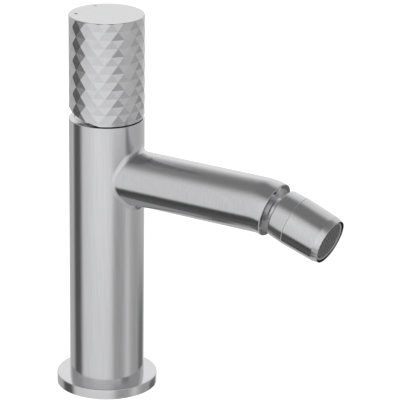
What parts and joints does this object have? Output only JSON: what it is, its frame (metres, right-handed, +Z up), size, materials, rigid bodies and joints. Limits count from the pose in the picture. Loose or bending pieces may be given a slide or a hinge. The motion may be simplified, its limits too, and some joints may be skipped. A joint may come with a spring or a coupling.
{
  "type": "bidet mixer",
  "caption": "Single-hole bidet mixer: round column on a flat base, faceted tilting knob on top, side spout with a swivelling ball-joint nozzle and aerator.",
  "frame": {"origin": "on the column axis, at the underside of the base flange", "axes": "+Z up along the column, +X along the spout, +Y to the side"},
  "size_m": [0.1541, 0.05, 0.1912],
  "materials": {
    "brushed_steel": "fine brushed stainless steel",
    "knob_steel": "flat brushed facets of stainless steel",
    "polished_steel": "polished stainless steel",
    "brass": "machined brass",
    "ceramic": "lapped white ceramic",
    "cartridge_plastic": "moulded white engineering plastic",
    "plain_steel": "plain ground steel",
    "seal_rubber": "black nitrile rubber",
    "liner_plastic": "white low-friction plastic",
    "aerator_plastic": "black moulded plastic",
    "outlet_ring_steel": "turned steel ring",
    "screen_wire": "woven steel wire",
    "hot_enamel": "dark enamel fill",
    "cold_enamel": "pale enamel fill"
  },
  "bodies": {
    "mixer": {"base_flange": "brushed_steel", "base_seal": "seal_rubber", "fixing_insert": "brass", "column": "brushed_steel", "spout": "brushed_steel", "cartridge_holder": "brass", "holder_seals": "seal_rubber", "port_seals": "seal_rubber", "cartridge_base": "cartridge_plastic", "fixed_disc": "ceramic", "cartridge_housing": "cartridge_plastic", "cartridge_nut": "brass", "dome_cover": "polished_steel", "ball_stem": "polished_steel", "stem_seal": "seal_rubber"},
    "rotor": {"lever_rotor": "cartridge_plastic", "lever_pin": "plain_steel"},
    "mixing_disc": {"moving_disc": "ceramic", "disc_carrier": "cartridge_plastic"},
    "knob": {"lever": "brass", "knob_shell": "knob_steel", "knob_insert": "brass", "grub_screw": "plain_steel", "hot_index": "hot_enamel", "cold_index": "cold_enamel"},
    "liner": {"ball_liner": "liner_plastic"},
    "nozzle": {"ball_seal": "seal_rubber", "nozzle_collar": "brushed_steel", "nozzle_housing": "brushed_steel", "aerator_gasket": "seal_rubber", "aerator_body": "aerator_plastic", "aerator_diffuser": "aerator_plastic", "aerator_screen": "screen_wire", "aerator_ring": "outlet_ring_steel"}
  },
  "joints": [
    {"name": "temperature_turn", "type": "hinge", "parent": "mixer", "child": "rotor", "pos_m": [0, 0, 0.122], "axis": [0, 0, 1], "range_deg": [-50, 50]},
    {"name": "flow_tilt", "type": "hinge", "parent": "rotor", "child": "knob", "pos_m": [0, 0, 0.122], "axis": [0, -1, 0], "range_deg": [0, 15]},
    {"name": "disc_slide", "type": "slide", "parent": "rotor", "child": "mixing_disc", "axis": [1, 0, 0], "range_m": [0, 0.0022]},
    {"name": "nozzle_swivel", "type": "hinge", "parent": "mixer", "child": "liner", "pos_m": [0.10475, 0, 0.10742], "axis": [0.9646, 0, -0.2639], "continuous": true},
    {"name": "nozzle_tilt", "type": "hinge", "parent": "liner", "child": "nozzle", "pos_m": [0.10475, 0, 0.10742], "axis": [0, 1, 0], "range_deg": [-16, 8]}
  ],
  "couplings": [
    {"joint": "disc_slide", "follows": "flow_tilt", "m_per_rad": 0.008}
  ]
}
